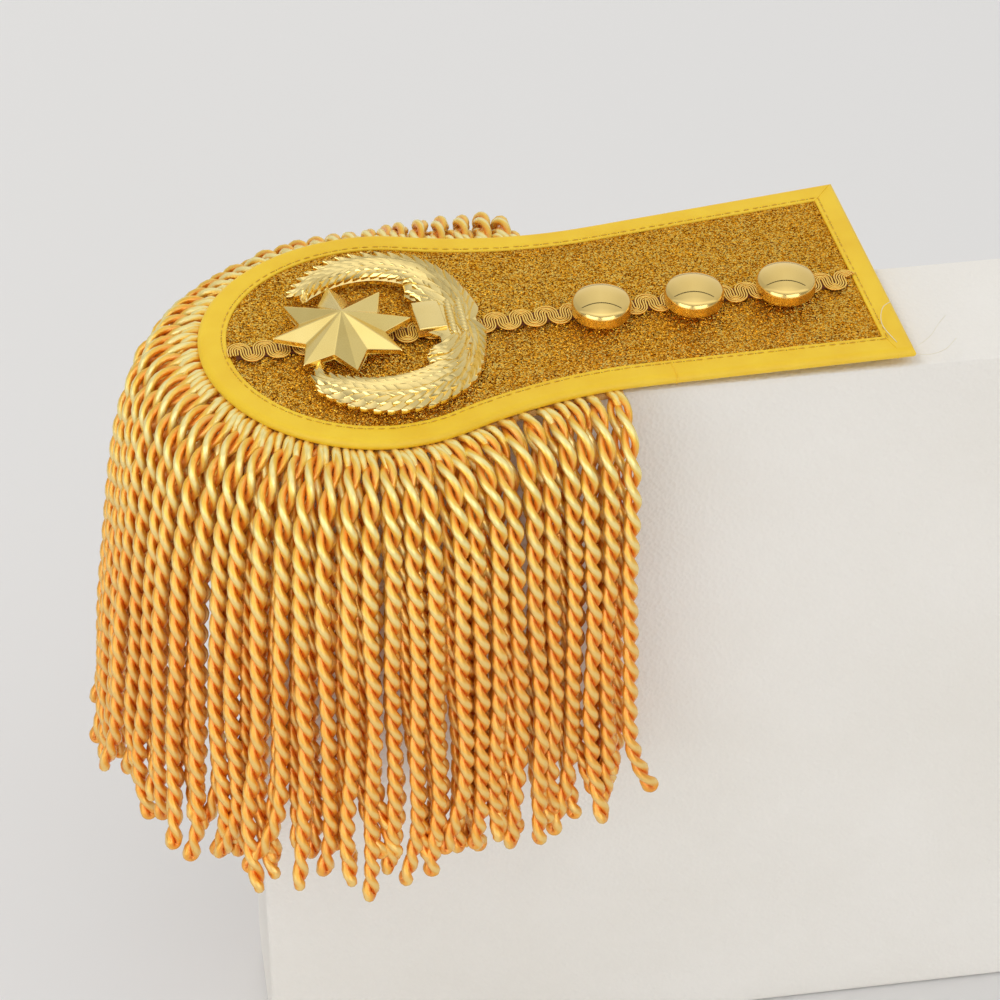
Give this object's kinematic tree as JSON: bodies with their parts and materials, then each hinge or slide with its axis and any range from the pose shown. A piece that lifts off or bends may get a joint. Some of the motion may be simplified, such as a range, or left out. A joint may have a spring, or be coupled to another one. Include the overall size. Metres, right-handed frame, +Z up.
{
  "type": "bullion epaulette on a display block",
  "caption": "Dress epaulette with glitter-cloth board, satin binding, scroll braid, star and wreath badge, domed buttons and bullion fringe, lying on a plain foam block.",
  "frame": {"origin": "middle of the display block's base", "axes": "+X along the strap from the round head to the square end, +Y to the far side of the board, +Z up"},
  "size_m": [0.2704, 0.1312, 0.2442],
  "materials": {
    "foam": "matte closed-cell foam",
    "glitter_cloth": "glitter-coated cloth",
    "satin_tape": "satin bias tape",
    "braid_cord": "rayon scroll braid",
    "gilt_badge": "bright pale gilt, die struck",
    "gilt_button": "mirror gilt",
    "fringe_cord": "lustrous two-ply rayon cord"
  },
  "bodies": {
    "root": {"display_block": "foam", "board": "glitter_cloth", "binding": "satin_tape", "braid": "braid_cord", "wreath": "gilt_badge", "star": "gilt_badge", "button_1": "gilt_button", "button_2": "gilt_button", "button_3": "gilt_button", "fringe": "fringe_cord"}
  },
  "joints": []
}
